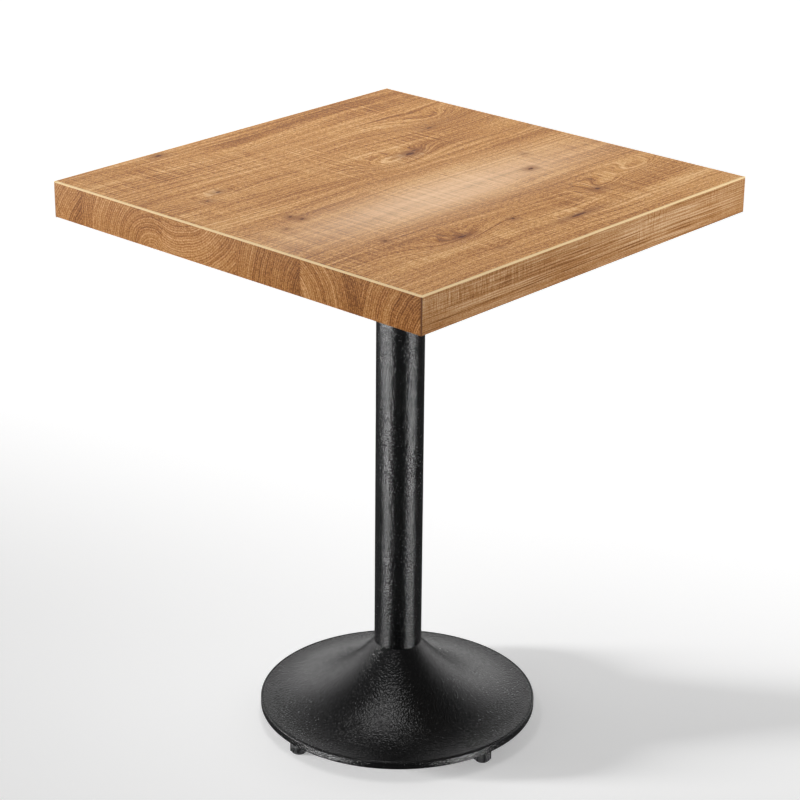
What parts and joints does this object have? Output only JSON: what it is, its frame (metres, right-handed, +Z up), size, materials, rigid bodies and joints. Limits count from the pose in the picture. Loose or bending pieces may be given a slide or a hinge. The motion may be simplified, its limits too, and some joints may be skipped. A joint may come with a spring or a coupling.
{
  "type": "bistro table",
  "caption": "Square pedestal cafe table: oak-look edge-banded top on a round black column with a trumpet-shaped round base and screw-adjustable levelling glides.",
  "frame": {"origin": "on the floor under the column axis, at the centre of the square top's outline", "axes": "+Z up, X along the grain of the top, the end-grain edges face -X and +X"},
  "size_m": [0.61, 0.61, 0.755],
  "materials": {
    "oak_decor": "rustic oak decor laminate, satin, with knots and cross saw marks",
    "oak_end_band": "end-grain oak decor edge band with glued staves, satin",
    "oak_long_band": "long-grain oak decor edge band, satin",
    "backer_sheet": "dark brown balancing laminate, fine matt",
    "particle_board": "raw particle board",
    "black_powder_coat": "fine-textured black powder coat, low sheen",
    "zinc_steel": "zinc-plated steel",
    "black_nylon": "moulded black nylon, slightly glossy",
    "grey_sole": "dark grey moulded sole, matt"
  },
  "bodies": {
    "table": {"tabletop_core": "particle_board", "tabletop_laminate": "oak_decor", "tabletop_backer": "backer_sheet", "edge_band_left_end": "oak_end_band", "edge_band_right_end": "oak_end_band", "edge_band_front": "oak_long_band", "edge_band_back": "oak_long_band", "mounting_plate": "black_powder_coat", "plate_collar": "black_powder_coat", "wood_screw_1": "zinc_steel", "wood_screw_2": "zinc_steel", "wood_screw_3": "zinc_steel", "wood_screw_4": "zinc_steel", "wood_screw_5": "zinc_steel", "wood_screw_6": "zinc_steel", "wood_screw_7": "zinc_steel", "wood_screw_8": "zinc_steel", "tie_rod": "zinc_steel", "tie_rod_washer": "zinc_steel", "tie_rod_nut": "zinc_steel", "tie_rod_lock_nut": "zinc_steel", "column_tube": "black_powder_coat", "column_socket": "zinc_steel", "socket_screw_1": "zinc_steel", "socket_screw_2": "zinc_steel", "socket_screw_3": "zinc_steel", "socket_screw_4": "zinc_steel", "trumpet_cover": "black_powder_coat", "base_plate": "black_powder_coat", "glide_1_insert": "zinc_steel", "glide_2_insert": "zinc_steel", "glide_3_insert": "zinc_steel", "glide_4_insert": "zinc_steel"},
    "glide_1_foot": {"glide_1_sole": "grey_sole"},
    "glide_1_adjuster": {"glide_1_knob": "black_nylon", "glide_1_stud": "zinc_steel"},
    "glide_2_foot": {"glide_2_sole": "grey_sole"},
    "glide_2_adjuster": {"glide_2_knob": "black_nylon", "glide_2_stud": "zinc_steel"},
    "glide_3_foot": {"glide_3_sole": "grey_sole"},
    "glide_3_adjuster": {"glide_3_knob": "black_nylon", "glide_3_stud": "zinc_steel"},
    "glide_4_foot": {"glide_4_sole": "grey_sole"},
    "glide_4_adjuster": {"glide_4_knob": "black_nylon", "glide_4_stud": "zinc_steel"}
  },
  "joints": [
    {"name": "glide_1_height", "type": "slide", "parent": "table", "child": "glide_1_foot", "axis": [0, 0, -1], "range_m": [0, 0.00375]},
    {"name": "glide_1_turn", "type": "hinge", "parent": "glide_1_foot", "child": "glide_1_adjuster", "pos_m": [-0.02084, -0.16972, 0.0075], "axis": [0, 0, -1], "range_deg": [0, 1080]},
    {"name": "glide_2_height", "type": "slide", "parent": "table", "child": "glide_2_foot", "axis": [0, 0, -1], "range_m": [0, 0.00375]},
    {"name": "glide_2_turn", "type": "hinge", "parent": "glide_2_foot", "child": "glide_2_adjuster", "pos_m": [0.16972, -0.02084, 0.0075], "axis": [0, 0, -1], "range_deg": [0, 1080]},
    {"name": "glide_3_height", "type": "slide", "parent": "table", "child": "glide_3_foot", "axis": [0, 0, -1], "range_m": [0, 0.00375]},
    {"name": "glide_3_turn", "type": "hinge", "parent": "glide_3_foot", "child": "glide_3_adjuster", "pos_m": [0.02084, 0.16972, 0.0075], "axis": [0, 0, -1], "range_deg": [0, 1080]},
    {"name": "glide_4_height", "type": "slide", "parent": "table", "child": "glide_4_foot", "axis": [0, 0, -1], "range_m": [0, 0.00375]},
    {"name": "glide_4_turn", "type": "hinge", "parent": "glide_4_foot", "child": "glide_4_adjuster", "pos_m": [-0.16972, 0.02084, 0.0075], "axis": [0, 0, -1], "range_deg": [0, 1080]}
  ],
  "couplings": [
    {"joint": "glide_1_height", "follows": "glide_1_turn", "m_per_rad": 0.00019894},
    {"joint": "glide_2_height", "follows": "glide_2_turn", "m_per_rad": 0.00019894},
    {"joint": "glide_3_height", "follows": "glide_3_turn", "m_per_rad": 0.00019894},
    {"joint": "glide_4_height", "follows": "glide_4_turn", "m_per_rad": 0.00019894}
  ]
}
